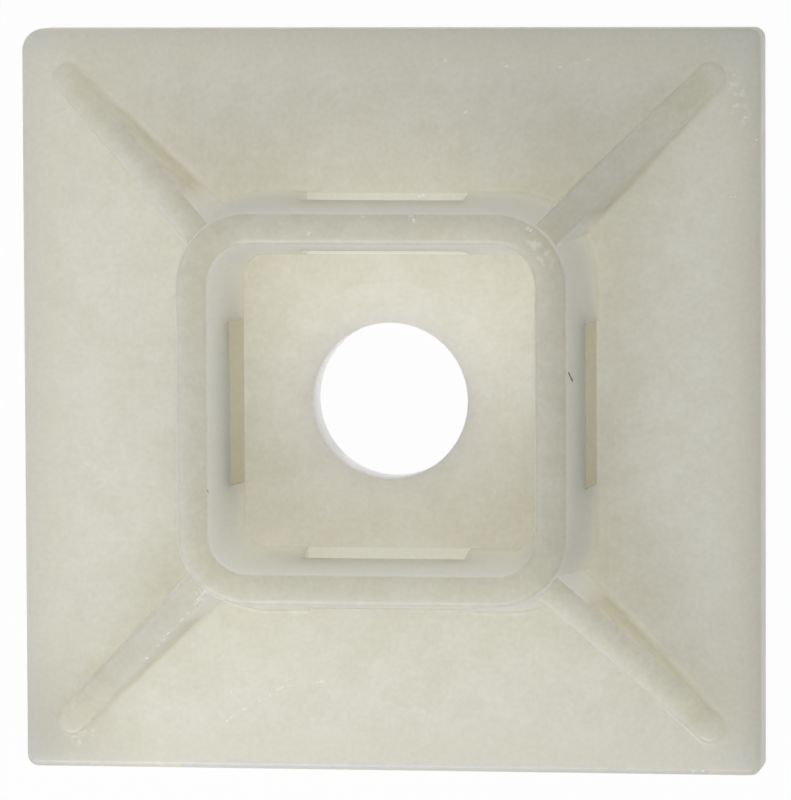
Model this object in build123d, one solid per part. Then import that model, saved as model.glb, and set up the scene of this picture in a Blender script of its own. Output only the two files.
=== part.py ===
from build123d import *
import os
from math import radians, sqrt, tan

# Four-way cable tie mount, moulded in one piece of natural nylon.
# Sizes are in millimetres and drafts in degrees. The origin is the middle of
# the flat underside, and +Z points away from the surface that the mount is
# fixed to. A tie goes in at one slot, across the floor of the cup and out at
# the slot on the far side, so it can run either way.

# Base plate
BASE_SIDE = 20.0
BASE_THICKNESS = 1.4
CORNER_RADIUS = 0.3
SOFT_CORNER_RADIUS = 0.6
EDGE_ROUND = 0.2

# Turret, the open cup in the middle that holds the tie
TURRET_HEIGHT = 3.5
RIM_WIDTH = 10.4
RIM_WALL = 0.82
RIM_CORNER_RADIUS = 1.9
RIM_ROUND = 0.2
RECESS_CORNER_RADIUS = 0.63
WALL_DRAFT = 7.3

# Tie slots, one through each turret wall, level with the top of the base
SLOT_LENGTH = 4.4
SLOT_HEIGHT = 1.4

# Screw hole, with a shallow seat for the head in the floor of the cup
HOLE_DIAMETER = 4.2
SEAT_WIDTH = 1.1
SEAT_DEPTH = 0.2

# Ribs from the turret's corners down to the corners of the base
RIB_WIDTH = 0.8
RIB_DRAFT = 4.0
RIB_DROP = 0.2
RIB_MARGIN = 1.05
RIB_TOE_HEIGHT = 0.4
RIB_ROUND = 0.12
ROOT_ROUND = 0.15

# Sizes that follow from the ones above
rim_z = BASE_THICKNESS + TURRET_HEIGHT
draft_run = TURRET_HEIGHT * tan(radians(WALL_DRAFT))
foot_width = RIM_WIDTH + 2 * draft_run
mouth_width = RIM_WIDTH - 2 * RIM_WALL
mouth_radius = RECESS_CORNER_RADIUS + draft_run

ON_FLOOR = (Align.CENTER, Align.CENTER, Align.MIN)
BELOW = (Align.CENTER, Align.CENTER, Align.MAX)


def corner_reach(width, radius):
    """Distance from the middle of a rounded square to the middle of its corner."""
    return sqrt(2) * (width / 2 - radius) + radius


def base_plate():
    """Square plate with eased top edges and one corner softer than the other three."""

    def along_soft_diagonal(edge):
        return edge.center().Y - edge.center().X

    blank = Box(BASE_SIDE, BASE_SIDE, BASE_THICKNESS, align=ON_FLOOR)
    corners = blank.edges().filter_by(Axis.Z).sort_by(along_soft_diagonal)
    plate = fillet(corners[:-1], CORNER_RADIUS)
    soft_corner = plate.edges().filter_by(Axis.Z).sort_by(along_soft_diagonal)[-1]
    plate = fillet(soft_corner, SOFT_CORNER_RADIUS)
    return fillet(plate.faces().sort_by(Axis.Z)[-1].edges(), EDGE_ROUND)


def drafted_block(width, radius, angle):
    """Rounded square block as tall as the turret, true to size at the rim and drafted below it."""
    outline = Pos(0, 0, rim_z) * RectangleRounded(width, width, radius)
    block = extrude(outline, -TURRET_HEIGHT)
    ends = block.faces().filter_by(Axis.Z)
    sides = [face for face in block.faces() if face not in ends]
    return draft(sides, Plane.XY.offset(rim_z), angle)


def rib():
    """Rib along +X: a sloped crest of constant width, drafted sides and a round toe."""
    root = corner_reach(RIM_WIDTH, RIM_CORNER_RADIUS) - RIM_ROUND
    root_height = TURRET_HEIGHT - RIB_DROP
    toe = corner_reach(BASE_SIDE - 2 * RIB_MARGIN, 0) - RIB_WIDTH / 2

    side_view = [(root, 0), (toe, 0), (toe, RIB_TOE_HEIGHT), (root, root_height)]
    blade = extrude(Plane.XZ * Polygon(*side_view, align=None), RIB_WIDTH / 2, both=True)
    crest = blade.faces().sort_by(Axis.Z)[-1]
    blade = draft(blade.faces().filter_by(Axis.Y), Plane(crest), RIB_DRAFT)

    toe_foot = blade.faces().sort_by(Axis.X)[-1].bounding_box().size.Y
    blade += Pos(toe, 0, 0) * Cone(toe_foot / 2, RIB_WIDTH / 2, RIB_TOE_HEIGHT, align=ON_FLOOR)
    upper_faces = blade.faces().filter_by(lambda face: face.normal_at().Z > 0.5)
    long_edges = upper_faces.edges().filter_by(Axis.Y, reverse=True)
    return Pos(0, 0, BASE_THICKNESS) * fillet(long_edges, RIB_ROUND)


def tie_slots():
    """Two crossing bars that open the four slots."""
    bar_length = foot_width + RIM_WALL
    bar = Pos(0, 0, BASE_THICKNESS) * Box(bar_length, SLOT_LENGTH, SLOT_HEIGHT, align=ON_FLOOR)
    return bar + Rot(0, 0, 90) * bar


def screw_hole():
    """Through hole, and the cone of its seat."""
    hole_radius = HOLE_DIAMETER / 2
    shank = Cylinder(hole_radius, BASE_THICKNESS, align=ON_FLOOR)
    seat = Cone(hole_radius, hole_radius + SEAT_WIDTH, SEAT_DEPTH, align=BELOW)
    return shank + Pos(0, 0, BASE_THICKNESS) * seat


mount_body = base_plate() + drafted_block(RIM_WIDTH, RIM_CORNER_RADIUS, WALL_DRAFT)
for corner in range(4):
    mount_body += Rot(0, 0, 45 + 90 * corner) * rib()

# The turret and the ribs meet the plate along the inner outline of its top face
underside, plate_top, *higher_faces = mount_body.faces().filter_by(Axis.Z).sort_by(Axis.Z)
mount_body = fillet(plate_top.inner_wires().edges(), ROOT_ROUND)

mount_body -= drafted_block(mouth_width, mouth_radius, -WALL_DRAFT)
rim = mount_body.faces().sort_by(Axis.Z)[-1]
mount_body = fillet(rim.edges(), RIM_ROUND)

mount_body -= tie_slots()
mount_body -= screw_hole()

os.makedirs("parts", exist_ok=True)
export_step(mount_body, "parts/mount_body.step")
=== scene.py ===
from math import cos, radians, sin

import bpy
from mathutils import Matrix, Vector


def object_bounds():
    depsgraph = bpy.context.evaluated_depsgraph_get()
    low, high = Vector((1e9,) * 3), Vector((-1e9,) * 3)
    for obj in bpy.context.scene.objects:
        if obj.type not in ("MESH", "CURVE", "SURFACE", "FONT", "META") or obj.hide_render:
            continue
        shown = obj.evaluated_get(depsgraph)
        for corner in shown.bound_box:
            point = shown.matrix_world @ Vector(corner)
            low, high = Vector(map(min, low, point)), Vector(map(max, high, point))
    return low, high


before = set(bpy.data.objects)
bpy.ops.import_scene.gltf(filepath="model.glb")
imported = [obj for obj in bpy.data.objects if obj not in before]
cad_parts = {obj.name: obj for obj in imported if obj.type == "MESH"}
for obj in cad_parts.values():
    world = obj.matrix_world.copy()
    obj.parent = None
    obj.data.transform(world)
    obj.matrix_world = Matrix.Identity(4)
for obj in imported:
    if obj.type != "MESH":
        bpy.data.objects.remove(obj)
cad_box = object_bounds()

MM = 0.001
WHITE = "#FFFFFF"

# View: almost straight down, leaning a little to the right and up
IMAGE_LONG_SIDE = 800
FOCAL_PX = 7397
SENSOR_MM = 36
NEAREST_SEEN = 1 * MM
VIEW_DISTANCE = 200 * MM
VIEW_TARGET = Vector((-0.042, -0.073, 0)) * MM
VIEW_TILT = radians(9.4)
VIEW_BEARING = radians(27.1)
VIEW_ROLL = radians(-0.25)

# Stage: white paper. It also sends back light that went down through the part: more under the cup, less
# past the plate's edges and none in the hole, with a slant that is a change per metre along X and Y
PAPER_COLOUR = "#E6E6E4"
FLOOR_SIDE = 4000 * MM
FLOOR_GAP = 0.02 * MM
FLOOR_SHADE = 0.03
PAPER_GLOW = 0.66
CUP_GLOW = 1.5
CUP_MIDDLE = Vector((0.2, 2.4, 0)) * MM
CUP_FADE = (2 * MM, 6.5 * MM)
HOLE_FADE = (0.9 * MM, 2.3 * MM)
OUTER_GLOW = 0.5
OUTER_FADE = (9.5 * MM, 10.5 * MM)
GLOW_SLANT = Vector((-24, -2, 0))

# Light: one soft lamp from the lower left of the view, and a pale room all round
KEY_POWER = 0.025
KEY_DISTANCE = 90 * MM
KEY_SIDE = 36 * MM
KEY_ELEVATION = radians(41)
KEY_BEARING = radians(-110)
ROOM_STRENGTH = 0.475

# Nylon: its colours, in pairs of darker and lighter where it is clouded
NYLON_COLOURS = ("#D7D5C5", "#E0DECF")
# Painted shade: the rim and the ribs are greyer, for the little light that comes up through them
SHADED_CREST_COLOURS = ("#C5C2AD", "#CFCCB8")
# Painted light: the walls are lighter, as if they glow
LIT_WALL_COLOUR = "#F3EFDC"
# Painted shade: the plate's edges are yellower, where less light reaches them
SHADED_BORDER_COLOUR = "#DAD6BD"
# Painted light: the hole's wall is near white, lit by the paper under it
LIT_BORE_COLOUR = "#FFFEF6"
# Painted shade: the slots along X are darker and yellower, under their wall
SHADED_SLOT_COLOUR = "#C4C0B0"
# Painted light: the slots along Y are lighter, where the lamp shines through them
LIT_SLOT_COLOUR = "#EEEAD4"
SPECK_COLOUR = "#6B6654"
# White of handling wear, also used for painted glints
WHITENED_AND_GLINT_COLOUR = "#FFFCEA"
# Painted shade: a greyer strip along the plate's bottom edge, toning down the light on that edge
BOTTOM_EDGE_SHADE_COLOUR = "#CBCAC2"
# Painted shade: the plate darkens towards its lower left corner
SHADED_CORNER_COLOUR = "#B6B5AB"

# Nylon: how light goes in it, and its clouds and grain. Real moulded grain is finer than this, which is
# as coarse as it has to be to show
NYLON_IOR = 1.53
SCATTER_LENGTH = 9.0 * MM
SCATTER_SHARES = (1.0, 0.95, 0.85)
SCATTER_FORWARD = 0.8
CLOUD_SIZE = 1.1 * MM
CLOUD_DETAIL = 3
CLOUD_RAGGEDNESS = 0.85
CLOUD_RANGE = (0.36, 0.64)
SATIN_RANGE = (0.46, 0.36)
GRAIN_SIZE = 0.12 * MM
GRAIN_CONTRAST = 0.08

# Heights of the plate's top and of the rim, in millimetres
PLATE_Z = 1.4
RIM_Z = cad_box[1][2] / MM

# Where the rim and the ribs take their painted shade, by height, slope and distance, and where the border
# takes its painted shade
CREST_HEIGHTS = (1.45 * MM, 2.0 * MM)
CREST_SLOPES = (0.3, 0.7)
RIB_STARTS = (4.7 * MM, 5.2 * MM)
BORDER_SPAN = (8.6 * MM, 10 * MM)

# Slots in the walls, from the inner face to the outer, in millimetres. The slots along X get painted shade,
# darker and yellower; the slots along Y get painted light, where the lamp shines through them
SLOT_ACROSS = (-2.21, 2.21)
SLOT_THROUGH = (3.95, 5.6)
SLOT_HEIGHTS = (PLATE_Z - 0.02, PLATE_Z + 1.41)
SHADED_SLOT = (SLOT_THROUGH, SLOT_ACROSS, SLOT_HEIGHTS)
LIT_SLOT = (SLOT_ACROSS, SLOT_THROUGH, SLOT_HEIGHTS)

# Wall of the screw hole, painted lighter for light from the paper under it: all that lies this near to its
# axis, in millimetres
BORE_AXIS = [[(0, 0, 0), (0, 0, 1.1)]]
BORE_REACH, BORE_EDGE = 2.13, 0.02

# Marks of use, painted glints and painted shade, as lines in millimetres, with how far each kind reaches and
# how much of that is its soft edge
PLATE_SCRATCHES = [
    [(-4.47, -8.69), (-2.9, -7.73), (-1.84, -7.57)],
    [(-8.33, -1.75), (-7.97, -1.88)],
    [(9.21, 5.51), (9.48, 5.49)],
    [(4.6, 8.95), (5.4, 9.13)],
]
# Painted highlights: a glint line along the rim's outer top edge and one along a rib's crest edge
RIM_GLINT = [(-0.43, 5.12, 4.84), (1.2, 5.12, 4.84)]
RIB_GLINT = [(-4.68, -5.15, 4.41), (-6.2, -6.67, 3.36)]
SCRATCHES_AND_GLINTS = [[(x, y, PLATE_Z) for x, y in line] for line in PLATE_SCRATCHES] + [RIM_GLINT, RIB_GLINT]
SCRATCH_AND_GLINT_REACH, SCRATCH_AND_GLINT_EDGE = 0.035, 0.018

# Nicks on the plate, with painted glints at a slot's mouth and on the bottom edge
NICKS_AND_GLINTS_ON_PLATE = [
    (0.84, 5.55), (0.95, 5.57), (-4.0, -8.4), (-1.9, -7.58), (-4.34, -7.89), (1.57, 9.15), (3.2, 8.99),
    (5.39, 9.15), (2.1, 7.76), (9.6, 7.65), (9.88, 7.06), (8.2, -9.9), (8.45, -9.9),
]
# Painted highlights: glints on the rim and on a rib's crest
GLINTS_ON_RIM = [(4.18, 4.85), (4.26, 4.79), (-1.63, 4.7), (1.17, 5.05)]
GLINTS_ON_RIB = [[(-4.37, -4.75, 4.66), (-4.72, -5.1, 4.41)], [(-6.34, -6.81, 3.26)]]
NICKS_AND_GLINTS = [
    *([(x, y, PLATE_Z)] for x, y in NICKS_AND_GLINTS_ON_PLATE),
    *([(x, y, RIM_Z)] for x, y in GLINTS_ON_RIM),
    *GLINTS_ON_RIB,
]
NICK_AND_GLINT_REACH, NICK_AND_GLINT_EDGE = 0.06, 0.03

# Frosted rub marks, with painted glints on the rim's corner and by a rib's root
RUBBED_AND_GLINTS = [
    [(4.32, 4.42, RIM_Z), (4.67, 3.97, RIM_Z)],
    [(-4.45, -4.85, RIM_Z - 0.2), (-4.8, -5.2, RIM_Z - 0.4)],
    [(9.25, 8.7, PLATE_Z), (9.5, 7.6, PLATE_Z)],
    [(-8.6, -9.2, PLATE_Z), (-8.35, -9.0, PLATE_Z)],
]
RUB_AND_GLINT_REACH, RUB_AND_GLINT_EDGE = 0.3, 0.2
RUB_AND_GLINT_SHARE = 0.5

# Painted shade along the plate's bottom edge
BOTTOM_EDGE_SHADE = [[(-5.6, -9.97, PLATE_Z), (8.5, -10.02, PLATE_Z)]]
BOTTOM_SHADE_REACH, BOTTOM_SHADE_SOFTNESS = 0.22, 0.1
# Painted shade towards the plate's lower left corner
SHADED_CORNER = [[(-9.8, -9.8, PLATE_Z)]]
CORNER_SHADE_REACH, CORNER_SHADE_SOFTNESS = 3.5, 3.5

SPECKS = [[(5.24, 1.0, 4.58), (5.29, 0.82, 4.18)], [(-4.37, -2.15, 4.82), (-4.34, -2.2, 4.78)]]
SPECK_REACH, SPECK_EDGE = 0.05, 0.025

# Flecks that break up the scratches, rub marks and glint lines, and the waver of all lines
FLECK_SIZE = 0.16 * MM
FLECK_DETAIL = 1
FLECK_RANGE = (0.5, 0.7)
WAVER_SIZE = 0.4 * MM
WAVER_REACH = 0.12 * MM
NOISE_MIDDLE = (0.5, 0.5, 0.5)


def linear(hex_colour):
    """An sRGB hex value as linear RGBA."""
    channels = [int(hex_colour[i:i + 2], 16) / 255 for i in (1, 3, 5)]
    decoded = [c / 12.92 if c <= 0.04045 else ((c + 0.055) / 1.055) ** 2.4 for c in channels]
    return (*decoded, 1)


def add(tree, kind, inputs=(), **settings):
    """Add a node with its own settings. An input is a value, an output, or a node for its first output."""
    node = tree.nodes.new(kind)
    for name, value in settings.items():
        setattr(node, name, value)
    for name, value in dict(inputs).items():
        if isinstance(value, bpy.types.Node):
            value = value.outputs[0]
        if isinstance(value, bpy.types.NodeSocket):
            tree.links.new(value, node.inputs[name])
        else:
            node.inputs[name].default_value = value
    return node


def empty_tree(owner):
    """The owner's node tree, with nothing in it."""
    owner.use_nodes = True
    owner.node_tree.nodes.clear()
    return owner.node_tree


def gap_to_line(tree, place, start, end):
    """Distance from place to the straight line between two points, which may be one point twice."""
    run = end - start
    if not run.length:
        return add(tree, "ShaderNodeVectorMath", {0: place, 1: start}, operation="DISTANCE").outputs["Value"]
    offset = add(tree, "ShaderNodeVectorMath", {0: place, 1: start}, operation="SUBTRACT")
    along = add(tree, "ShaderNodeVectorMath", {
        0: offset, 1: run / run.length_squared}, operation="DOT_PRODUCT")
    share = add(tree, "ShaderNodeClamp", {"Value": along.outputs["Value"]})
    foot = add(tree, "ShaderNodeVectorMath", {0: run, "Scale": share}, operation="SCALE")
    return add(tree, "ShaderNodeVectorMath", {0: offset, 1: foot}, operation="DISTANCE").outputs["Value"]


def near(tree, place, lines, reach, edge):
    """1 near these lines and 0 beyond their reach, with a soft edge inside it. All are in millimetres."""
    gaps = [
        gap_to_line(tree, place, Vector(start) * MM, Vector(end) * MM)
        for line in lines for start, end in zip(line, line[1:] or line)
    ]
    nearest = gaps[0]
    for gap in gaps[1:]:
        nearest = add(tree, "ShaderNodeMath", {0: nearest, 1: gap}, operation="MINIMUM")
    return add(tree, "ShaderNodeMapRange", {
        "Value": nearest, "From Min": reach * MM, "From Max": (reach - edge) * MM})


def inside(tree, place, box):
    """1 inside a box that is given by its ranges along X, Y and Z, in millimetres."""
    middle = Vector([(low + high) / 2 for low, high in box]) * MM
    half_size = Vector([(high - low) / 2 for low, high in box]) * MM
    offset = add(tree, "ShaderNodeVectorMath", {0: place, 1: middle}, operation="SUBTRACT")
    share = add(tree, "ShaderNodeVectorMath", {0: offset, 1: half_size}, operation="DIVIDE")
    share = add(tree, "ShaderNodeVectorMath", {0: share}, operation="ABSOLUTE")
    share = add(tree, "ShaderNodeSeparateXYZ", {0: share}).outputs
    flat = add(tree, "ShaderNodeMath", {0: share["X"], 1: share["Y"]}, operation="MAXIMUM")
    solid = add(tree, "ShaderNodeMath", {0: flat, 1: share["Z"]}, operation="MAXIMUM")
    return add(tree, "ShaderNodeMath", {0: solid, 1: 1}, operation="LESS_THAN")


def thick_and_thin(tree, folded):
    """Two masks of painted light and shade: the rim and the ribs, painted greyer as least light comes up
    through them, and the narrow walls, painted lighter as if they glow.
    """
    sides = add(tree, "ShaderNodeSeparateXYZ", {0: folded}).outputs
    diagonal = add(tree, "ShaderNodeMath", {0: sides["X"], 1: sides["Y"]}, operation="MINIMUM")
    rib = add(tree, "ShaderNodeMapRange", {
        "Value": diagonal, "From Min": RIB_STARTS[0], "From Max": RIB_STARTS[1]})
    normal = add(tree, "ShaderNodeNewGeometry").outputs["Normal"]
    slope = add(tree, "ShaderNodeSeparateXYZ", {0: normal}).outputs["Z"]
    high = add(tree, "ShaderNodeMapRange", {
        "Value": sides["Z"], "From Min": CREST_HEIGHTS[0], "From Max": CREST_HEIGHTS[1]})
    level = add(tree, "ShaderNodeMapRange", {
        "Value": slope, "From Min": CREST_SLOPES[0], "From Max": CREST_SLOPES[1]})
    either = add(tree, "ShaderNodeMath", {0: rib, 1: level}, operation="MAXIMUM")
    crest_shade_mask = add(tree, "ShaderNodeMath", {0: high, 1: either}, operation="MULTIPLY")
    return crest_shade_mask, add(tree, "ShaderNodeMath", {0: high, 1: crest_shade_mask}, operation="SUBTRACT")


def border(tree, folded):
    """1 at the plate's edges and 0 inside: less light reaches them, and it looks yellower."""
    sides = add(tree, "ShaderNodeSeparateXYZ", {0: folded}).outputs
    square = add(tree, "ShaderNodeMath", {0: sides["X"], 1: sides["Y"]}, operation="MAXIMUM")
    return add(tree, "ShaderNodeMapRange", {
        "Value": square, "From Min": BORDER_SPAN[0], "From Max": BORDER_SPAN[1]})


def clouding(tree, place):
    """Faint clouds in the nylon, from 0 where it is darker to 1 where it is lighter."""
    cloud = add(tree, "ShaderNodeTexNoise", {
        "Vector": place, "Scale": 1 / CLOUD_SIZE, "Detail": CLOUD_DETAIL, "Roughness": CLOUD_RAGGEDNESS})
    return add(tree, "ShaderNodeMapRange", {
        "Value": cloud, "From Min": CLOUD_RANGE[0], "From Max": CLOUD_RANGE[1]})


def wavering(tree, place):
    """The same place, moved a little this way and that, so that no mark is ruler-straight."""
    waver = add(tree, "ShaderNodeTexNoise", {"Vector": place, "Scale": 1 / WAVER_SIZE, "Detail": 0})
    waver = add(tree, "ShaderNodeVectorMath", {
        0: waver.outputs["Color"], 1: NOISE_MIDDLE}, operation="SUBTRACT")
    waver = add(tree, "ShaderNodeVectorMath", {0: waver, "Scale": WAVER_REACH}, operation="SCALE")
    return add(tree, "ShaderNodeVectorMath", {0: place, 1: waver}, operation="ADD").outputs["Vector"]


def whitened_and_glinting(tree, place, drawn):
    """1 where handling has turned the surface white: flecked scratches, small nicks and frosted rub marks at
    edges, with painted glints among them on the rim, a rib and the plate.
    """
    fleck = add(tree, "ShaderNodeTexNoise", {
        "Vector": place, "Scale": 1 / FLECK_SIZE, "Detail": FLECK_DETAIL})
    flecks = add(tree, "ShaderNodeMapRange", {
        "Value": fleck, "From Min": FLECK_RANGE[0], "From Max": FLECK_RANGE[1]})
    rubbed_and_glinting = near(tree, drawn, RUBBED_AND_GLINTS, RUB_AND_GLINT_REACH, RUB_AND_GLINT_EDGE)
    scratched_and_glinting = near(tree, drawn, SCRATCHES_AND_GLINTS, SCRATCH_AND_GLINT_REACH, SCRATCH_AND_GLINT_EDGE)
    frosty_and_glinting = add(tree, "ShaderNodeMath", {0: rubbed_and_glinting, 1: RUB_AND_GLINT_SHARE}, operation="MULTIPLY")
    worn_and_glinting = add(tree, "ShaderNodeMath", {0: frosty_and_glinting, 1: scratched_and_glinting}, operation="MAXIMUM")
    broken_wear_and_glints = add(tree, "ShaderNodeMath", {0: worn_and_glinting, 1: flecks}, operation="MULTIPLY")
    nicked_and_glinting = near(tree, drawn, NICKS_AND_GLINTS, NICK_AND_GLINT_REACH, NICK_AND_GLINT_EDGE)
    return add(tree, "ShaderNodeMath", {0: broken_wear_and_glints, 1: nicked_and_glinting}, operation="MAXIMUM")


def tints(tree, place, painted_crest_shade):
    """Masks and colours that are laid over the nylon's own colour, the first one lowest: painted shade and
    light, specks, and white wear with painted glints.
    """
    drawn = wavering(tree, place)
    folded = add(tree, "ShaderNodeVectorMath", {0: place}, operation="ABSOLUTE").outputs["Vector"]
    crest_shade_mask, wall_light_mask = thick_and_thin(tree, folded)
    return [
        (border(tree, folded), linear(SHADED_BORDER_COLOUR)),
        (near(tree, place, SHADED_CORNER, CORNER_SHADE_REACH, CORNER_SHADE_SOFTNESS), linear(SHADED_CORNER_COLOUR)),
        (near(tree, place, BORE_AXIS, BORE_REACH, BORE_EDGE), linear(LIT_BORE_COLOUR)),
        (crest_shade_mask, painted_crest_shade),
        (wall_light_mask, linear(LIT_WALL_COLOUR)),
        (inside(tree, folded, SHADED_SLOT), linear(SHADED_SLOT_COLOUR)),
        (inside(tree, folded, LIT_SLOT), linear(LIT_SLOT_COLOUR)),
        (near(tree, drawn, BOTTOM_EDGE_SHADE, BOTTOM_SHADE_REACH, BOTTOM_SHADE_SOFTNESS), linear(BOTTOM_EDGE_SHADE_COLOUR)),
        (whitened_and_glinting(tree, place, drawn), linear(WHITENED_AND_GLINT_COLOUR)),
        (near(tree, drawn, SPECKS, SPECK_REACH, SPECK_EDGE), linear(SPECK_COLOUR)),
    ]


def moulded_natural_nylon():
    """Natural nylon 6.6 as moulded, with no pigment."""
    # Milky and translucent: light goes deep into it, so shadows are soft. Painted shade makes the crests
    # greyer, the slots along X darker and yellower, the plate's edges yellower and one corner and the bottom
    # edge darker; painted light makes the walls, the hole's wall and the slots along Y lighter. Handling
    # leaves fine white scratches, nicks and frosted spots, with painted glints among them, and a few dark
    # specks
    material = bpy.data.materials.new("moulded_natural_nylon")
    tree = empty_tree(material)
    place = add(tree, "ShaderNodeTexCoord").outputs["Object"]

    cloud = clouding(tree, place)
    body, painted_crest_shade = (
        add(tree, "ShaderNodeMix", {0: cloud, 6: linear(dark), 7: linear(light)}, data_type="RGBA").outputs[2]
        for dark, light in (NYLON_COLOURS, SHADED_CREST_COLOURS)
    )
    for share, colour in tints(tree, place, painted_crest_shade):
        body = add(tree, "ShaderNodeMix", {0: share, 6: body, 7: colour}, data_type="RGBA").outputs[2]

    grain = add(tree, "ShaderNodeTexNoise", {"Vector": place, "Scale": 1 / GRAIN_SIZE, "Detail": 0})
    grained = add(tree, "ShaderNodeMath", {
        0: grain, 1: GRAIN_CONTRAST, 2: 1 - GRAIN_CONTRAST / 2}, operation="MULTIPLY_ADD")
    body = add(tree, "ShaderNodeVectorMath", {0: body, "Scale": grained}, operation="SCALE")
    satin = add(tree, "ShaderNodeMapRange", {
        "Value": cloud, "To Min": SATIN_RANGE[0], "To Max": SATIN_RANGE[1]})
    skin = add(tree, "ShaderNodeBsdfPrincipled", {
        "Base Color": body,
        "Roughness": satin,
        "IOR": NYLON_IOR,
        "Subsurface Weight": 1.0,
        "Subsurface Radius": SCATTER_SHARES,
        "Subsurface Scale": SCATTER_LENGTH,
        "Subsurface Anisotropy": SCATTER_FORWARD,
    })
    add(tree, "ShaderNodeOutputMaterial", {"Surface": skin})
    return material


def seen_directly(tree):
    """1 for rays that should meet a white background: from the eye, or by way of gloss or clear parts."""
    path = add(tree, "ShaderNodeLightPath").outputs
    gloss = add(tree, "ShaderNodeMath", {
        0: path["Is Camera Ray"], 1: path["Is Glossy Ray"]}, operation="MAXIMUM")
    return add(tree, "ShaderNodeMath", {0: gloss, 1: path["Is Transmission Ray"]}, operation="MAXIMUM")


def paper_glow(tree):
    """Light that the paper sends up: strongest under the cup, little past the part, none in the hole."""
    place = add(tree, "ShaderNodeTexCoord").outputs["Object"]
    reach = add(tree, "ShaderNodeVectorMath", {0: place}, operation="LENGTH").outputs["Value"]
    lit = add(tree, "ShaderNodeVectorMath", {0: place, 1: CUP_MIDDLE}, operation="DISTANCE").outputs["Value"]
    sides = add(tree, "ShaderNodeVectorMath", {0: place}, operation="ABSOLUTE")
    sides = add(tree, "ShaderNodeSeparateXYZ", {0: sides}).outputs
    square = add(tree, "ShaderNodeMath", {0: sides["X"], 1: sides["Y"]}, operation="MAXIMUM")
    hole = add(tree, "ShaderNodeMapRange", {
        "Value": reach, "From Min": HOLE_FADE[0], "From Max": HOLE_FADE[1]})
    cup = add(tree, "ShaderNodeMapRange", {
        "Value": lit, "From Min": CUP_FADE[0], "From Max": CUP_FADE[1],
        "To Min": PAPER_GLOW * CUP_GLOW, "To Max": PAPER_GLOW})
    outer = add(tree, "ShaderNodeMapRange", {
        "Value": square, "From Min": OUTER_FADE[0], "From Max": OUTER_FADE[1],
        "To Min": 1, "To Max": OUTER_GLOW})
    slant = add(tree, "ShaderNodeVectorMath", {0: place, 1: GLOW_SLANT}, operation="DOT_PRODUCT")
    across = add(tree, "ShaderNodeMath", {0: slant.outputs["Value"], 1: 1}, operation="ADD")
    strength = hole
    for share in (cup, outer, across):
        strength = add(tree, "ShaderNodeMath", {0: strength, 1: share}, operation="MULTIPLY")
    return add(tree, "ShaderNodeEmission", {"Color": linear(WHITE), "Strength": strength})


def matt_white_paper():
    """Matt white paper that looks white to the eye, takes a soft shadow and glows up into the part."""
    material = bpy.data.materials.new("matt_white_paper")
    tree = empty_tree(material)
    paper = add(tree, "ShaderNodeBsdfDiffuse", {"Color": linear(PAPER_COLOUR)})
    white = add(tree, "ShaderNodeEmission", {"Color": linear(WHITE), "Strength": 1.0})
    shown = add(tree, "ShaderNodeMixShader", {0: FLOOR_SHADE, 1: white, 2: paper})
    surface = add(tree, "ShaderNodeMixShader", {0: seen_directly(tree), 1: paper_glow(tree), 2: shown})
    add(tree, "ShaderNodeOutputMaterial", {"Surface": surface})
    return material


def white_floor():
    """The sheet of paper that the mount lies on."""
    half = FLOOR_SIDE / 2
    corners = [(x * half, y * half, -FLOOR_GAP) for x, y in ((-1, -1), (1, -1), (1, 1), (-1, 1))]
    mesh = bpy.data.meshes.new("floor")
    mesh.from_pydata(corners, [], [(0, 1, 2, 3)])
    mesh.materials.append(matt_white_paper())
    floor = bpy.data.objects.new("floor", mesh)
    bpy.context.scene.collection.objects.link(floor)


def room():
    """A pale room: soft light from every side, and white where it is seen directly."""
    world = bpy.data.worlds.new("pale_room")
    tree = empty_tree(world)
    fill = add(tree, "ShaderNodeBackground", {"Color": linear(WHITE), "Strength": ROOM_STRENGTH})
    white = add(tree, "ShaderNodeBackground", {"Color": linear(WHITE), "Strength": 1.0})
    surface = add(tree, "ShaderNodeMixShader", {0: seen_directly(tree), 1: fill, 2: white})
    add(tree, "ShaderNodeOutputWorld", {"Surface": surface})
    bpy.context.scene.world = world


def direction(elevation, bearing):
    """Unit vector at this height above the floor, on this bearing from +X towards +Y."""
    return Vector((cos(elevation) * cos(bearing), cos(elevation) * sin(bearing), sin(elevation)))


def facing(place, target, up):
    """Matrix of a camera or lamp at place that looks at target, with up towards the top."""
    back = (place - target).normalized()
    right = up.cross(back).normalized()
    turn = Matrix((right, back.cross(right), back)).transposed()
    return Matrix.Translation(place) @ turn.to_4x4()


def soft_box():
    """The one soft lamp, which no view shows."""
    lamp = bpy.data.lights.new("soft_box", "AREA")
    lamp.shape = "SQUARE"
    lamp.size = KEY_SIDE
    lamp.energy = KEY_POWER
    holder = bpy.data.objects.new("soft_box", lamp)
    place = KEY_DISTANCE * direction(KEY_ELEVATION, KEY_BEARING)
    holder.matrix_world = facing(place, Vector(), Vector((0, 0, 1)))
    holder.visible_camera = False
    bpy.context.scene.collection.objects.link(holder)


def camera():
    """The long lens that gives the photograph's view."""
    lens = bpy.data.cameras.new("camera")
    lens.sensor_width = SENSOR_MM
    lens.lens = FOCAL_PX * SENSOR_MM / IMAGE_LONG_SIDE
    lens.clip_start = NEAREST_SEEN
    holder = bpy.data.objects.new("camera", lens)
    up = Vector((-sin(VIEW_ROLL), cos(VIEW_ROLL), 0))
    place = VIEW_TARGET + VIEW_DISTANCE * direction(radians(90) - VIEW_TILT, VIEW_BEARING)
    holder.matrix_world = facing(place, VIEW_TARGET, up)
    bpy.context.scene.collection.objects.link(holder)
    bpy.context.scene.camera = holder


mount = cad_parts["mount_body"]
mount.material_slots[0].material = moulded_natural_nylon()

white_floor()
room()
soft_box()
camera()
bpy.context.scene.view_settings.view_transform = "Standard"
